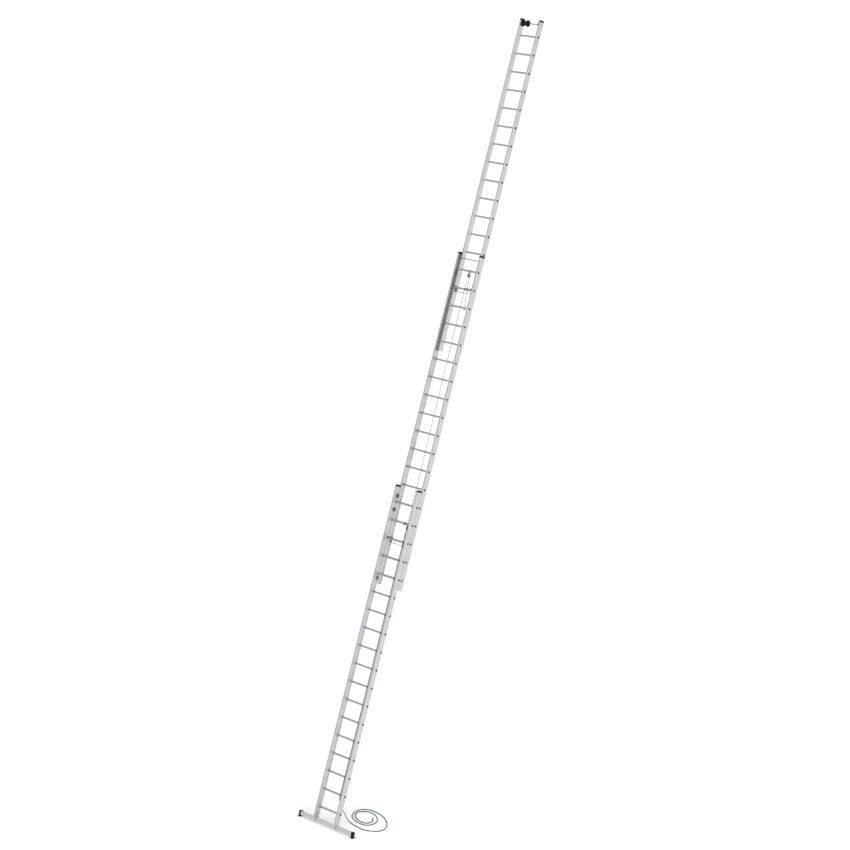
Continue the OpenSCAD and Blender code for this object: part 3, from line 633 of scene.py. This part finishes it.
def black_plastic(name, colour, roughness, grain):
    """Moulded plastic or rubber with a fine grain, greyer where it has been rubbed and is dusty."""
    finish = Finish(name, colour, roughness=roughness)
    texture = finish.noise(scale=900, detail=3)
    dust = finish.noise(scale=24, detail=4)
    dusty = tuple(2.0 * c + 0.003 for c in colour)
    finish.tint(finish.span(dust, low=0.0, high=0.35, start=0.5, end=0.75), dusty)
    finish.shader.inputs["Specular IOR Level"].default_value = DULL_SPECULAR
    finish.roughen(texture, low=roughness - 0.06, high=roughness + 0.08)
    finish.bump(texture, distance=grain, strength=0.6)
    return finish.material


def steel(name, colour, roughness, spangle):
    """Plated steel: soft crystal patches in colour and gloss, and a very fine surface grain."""
    finish = Finish(name, colour, metallic=1.0, roughness=roughness)
    cells = finish.add("ShaderNodeTexVoronoi", {"Vector": finish.space, "Scale": spangle}).outputs["Color"]
    patch = finish.add("ShaderNodeSeparateColor", {0: cells}).outputs[0]
    cloud = finish.noise(scale=40)
    blend = finish.math("ADD", finish.math("MULTIPLY", patch, 0.5), finish.math("MULTIPLY", cloud, 0.5))
    finish.tint(finish.span(blend, low=0.0, high=0.6), shade(colour, 0.78))
    finish.roughen(blend, low=roughness - 0.08, high=roughness + 0.12)
    finish.bump(finish.noise(scale=700, detail=3), distance=0.03 * MM, strength=0.6)
    return finish.material


def cast_metal(name, colour):
    """Cast aluminium with a pebbled skin."""
    finish = Finish(name, colour, metallic=1.0, roughness=0.45)
    skin = finish.noise(scale=380, detail=4)
    finish.tint(finish.span(skin, low=0.4, high=0.0), shade(colour, 0.7))
    finish.roughen(finish.noise(scale=60, detail=3), low=0.38, high=0.55)
    finish.bump(skin, distance=0.2 * MM, strength=0.7)
    return finish.material


HAUL_GREEN = (0.003, 0.085, 0.100)
HAUL_DARK = (0.001, 0.032, 0.042)
HAUL_PALE = (0.015, 0.170, 0.185)
LIFT_GREY = (0.42, 0.44, 0.43)
LIFT_DARK = (0.035, 0.045, 0.045)


def haul_fibre(finish):
    """Fibres of the green rope: fine streaks, a few pale broken ones, and a slight sheen."""
    fibres = finish.noise(scale=1500, detail=3)
    broken = finish.noise(scale=600, detail=4)
    finish.tint(finish.span(fibres, low=0.0, high=0.7), HAUL_DARK)
    finish.tint(finish.span(broken, low=0.0, high=0.45, start=0.6, end=0.75), HAUL_PALE)
    finish.bump(fibres, distance=0.15 * MM, strength=0.7)
    finish.shader.inputs["Sheen Weight"].default_value = 0.05
    finish.shader.inputs["Specular IOR Level"].default_value = DULL_SPECULAR
    finish.shader.inputs["Roughness"].default_value = 0.7
    return finish.material


def haul_laid(name):
    """The green rope where its strands are modelled."""
    return haul_fibre(Finish(name, HAUL_GREEN))


def haul_straight(name, origin):
    """The green rope on its straight stretch, with its three strands in relief and painted shade darkening the
    grooves between them.
    """
    finish = Finish(name, HAUL_GREEN, origin=origin)
    groove_shade_and_relief = finish.math("ABSOLUTE", finish.winding(starts=3.0, lay=HAUL_LAY))
    # Painted shade: the grooves between the strands are darkened towards the dark green.
    finish.tint(finish.span(groove_shade_and_relief, low=0.85, high=0.0, start=0.0, end=0.45), HAUL_DARK)
    finish.bump(groove_shade_and_relief, distance=1.2 * MM, strength=0.8)
    return haul_fibre(finish)


def twine(name):
    """Waxed dark twine round the rope's end."""
    finish = Finish(name, HAUL_DARK, roughness=0.5)
    threads = finish.noise(scale=1800, detail=3)
    finish.tint(finish.span(threads, low=0.0, high=0.5), HAUL_GREEN)
    finish.bump(threads, distance=0.1 * MM, strength=0.7)
    return finish.material


def lift_braid(name, turn=(LEAN, 0, 0), origin=(0, 0, 0)):
    """Grey braided rope with a dark tracer winding round it."""
    finish = Finish(name, LIFT_GREY, roughness=0.75, turn=turn, origin=origin)
    one_way = finish.winding(starts=8, lay=LIFT_LAY)
    other_way = finish.winding(starts=8, lay=-LIFT_LAY)
    braid = finish.math("MULTIPLY", one_way, other_way)
    tracer = finish.winding(starts=1, lay=LIFT_LAY)
    finish.tint(finish.span(braid, low=0.0, high=0.5, start=-0.2, end=0.6), shade(LIFT_GREY, 0.62))
    finish.tint(finish.span(tracer, low=0.0, high=1.0, start=0.10, end=0.18), LIFT_DARK)
    finish.bump(braid, distance=0.5 * MM, strength=0.7)
    finish.bump(finish.noise(scale=1500, detail=2), distance=0.1 * MM, strength=0.5)
    finish.shader.inputs["Sheen Weight"].default_value = 0.2
    return finish.material


def paint(material, *targets):
    """Gives CAD nodes, by name, or pieces one material."""
    for target in targets:
        painted = nodes[target] if isinstance(target, str) else target
        painted.data.materials.clear()
        painted.data.materials.append(material)


ALONG_STILE = (1, 1, 0.004)
ALONG_RUNG = (0.004, 1, 1)
ANCHORS = ("haul_rope_anchor", "lift_rope_anchor", "top_rope_anchor")
BLOCKS = ("haul_pulley_block", "lift_pulley_block")
HOOKS = ("middle_hook_left", "middle_hook_right", "top_hook_left", "top_hook_right")
FOOT_PADS = ("foot_pad_left", "foot_pad_right")
stile_names = [section + "_stile_" + side for section, _ in SECTIONS for side in ("left", "right")]
paint(aluminium("stile_aluminium", (0.65, 0.66, 0.67), 0.36, ALONG_STILE), *stile_names)
paint(aluminium("rung_aluminium", (0.54, 0.55, 0.56), 0.40, ALONG_RUNG), *rungs)
paint(aluminium("plain_aluminium", (0.80, 0.81, 0.82), 0.34, ALONG_RUNG),
      "traverse_beam", "middle_top_guides", "top_guides")
paint(black_plastic("black_plastic", (0.0035, 0.0035, 0.0038), 0.50, 0.05 * MM), *plugs,
      "lower_caps", "middle_caps", "top_caps", "foot_shoes", "middle_hook_bushes", "top_hook_bushes")
paint(black_plastic("foot_rubber", (0.0040, 0.0040, 0.0040), 0.75, 0.12 * MM), *FOOT_PADS)
paint(black_plastic("roller_rubber", (0.0035, 0.0035, 0.0036), 0.70, 0.10 * MM),
      "wall_roller_left", "wall_roller_middle", "wall_roller_right")
paint(black_plastic("sheave_plastic", (0.05, 0.05, 0.052), 0.45, 0.03 * MM), "haul_sheave", "lift_sheave")
paint(steel("zinc_steel", (0.26, 0.265, 0.27), 0.36, 160),
      "lower_guides", "middle_bottom_guides", *ANCHORS, "tie_rod_nuts", "tie_rod", "roller_axle")
paint(steel("zinc_steel_pale", (0.55, 0.56, 0.57), 0.36, 160), "traverse_brackets")
paint(steel("bright_steel", (0.55, 0.56, 0.57), 0.28, 300),
      "lower_rivets", "middle_rivets", "top_rivets", "traverse_bolts", "foot_pins", "haul_pulley_pin",
      "lift_pulley_pin", *BLOCKS, "axle_nuts", "middle_hook_rod", "top_hook_rod")
paint(cast_metal("cast_aluminium", (0.14, 0.145, 0.15)), *HOOKS)
paint(haul_laid("haul_rope"), haul_wrap, haul_free, haul_turns)
paint(haul_straight("haul_rope_straight", row(haul_wheel.x, haul_rear, haul_foot)), haul_strand)
paint(twine("rope_twine"), haul_whipping)
slant = math.atan2(lift_anchor_x - lift_wheel.x, lift_wheel.z - lift_anchor_high.z)
slant_foot = row(lift_anchor_x, lift_front, lift_anchor_high.z)
paint(lift_braid("lift_rope_slanted", turn=(LEAN, -slant, 0), origin=slant_foot), lift_up)
paint(lift_braid("lift_rope", origin=row(lift_wheel.x, lift_rear, 0)),
      lift_down, lift_wrap, *lift_turns, "lift_rope_tail")

# ---- softened edges ------------------------------------------------------------------------------

WELD_REACH = 0.002 * MM
EDGE_ANGLE = 50
FITTING_EDGE = 0.5 * MM
MOULDED_EDGE = 1.2 * MM


def soften(width, *names):
    """Rounds the sharp edges of CAD nodes a little, after joining the points their faces share."""
    for name in names:
        weld = nodes[name].modifiers.new("weld", "WELD")
        weld.merge_threshold = WELD_REACH
        bevel = nodes[name].modifiers.new("bevel", "BEVEL")
        bevel.width = width
        bevel.segments = 2
        bevel.limit_method = "ANGLE"
        bevel.angle_limit = math.radians(EDGE_ANGLE)


soften(FITTING_EDGE, "lower_guides", "middle_bottom_guides", "middle_top_guides", "top_guides",
       "traverse_brackets", *BLOCKS, *ANCHORS, *HOOKS)
soften(MOULDED_EDGE, "foot_shoes", *FOOT_PADS)

# ---- floor and light -----------------------------------------------------------------------------

FLOOR_RADIUS = 400
FLOOR_SIDES = 64
FLOOR_DROP = 0.5 * MM
WORLD_STRENGTH = 0.55
SUN_STRENGTH = 2.6
SUN_SPREAD = 100
SUN_TURN = (35, 20, 30)

floor_shape = Shape()
floor_shape.points = [Vector((a, b, -FLOOR_DROP)) for a, b in circle(FLOOR_RADIUS, FLOOR_SIDES)]
floor_shape.faces = [tuple(range(FLOOR_SIDES))]
floor = floor_shape.piece("floor")
floor_paint = bpy.data.materials.new("floor")
floor_paint.use_nodes = True
floor_shader = floor_paint.node_tree.nodes["Principled BSDF"]
floor_shader.inputs["Base Color"].default_value = (0.9, 0.9, 0.9, 1)
floor_shader.inputs["Roughness"].default_value = 1.0
paint(floor_paint, floor)

world = bpy.data.worlds.new("studio")
world.use_nodes = True
backdrop = world.node_tree.nodes["Background"]
backdrop.inputs["Color"].default_value = (1, 1, 1, 1)
backdrop.inputs["Strength"].default_value = WORLD_STRENGTH
bpy.context.scene.world = world

sun_data = bpy.data.lights.new("sun", "SUN")
sun_data.energy = SUN_STRENGTH
sun_data.angle = math.radians(SUN_SPREAD)
sun = bpy.data.objects.new("sun", sun_data)
sun.rotation_euler = [math.radians(angle) for angle in SUN_TURN]
bpy.context.scene.collection.objects.link(sun)
bpy.context.scene.view_settings.view_transform = "Standard"
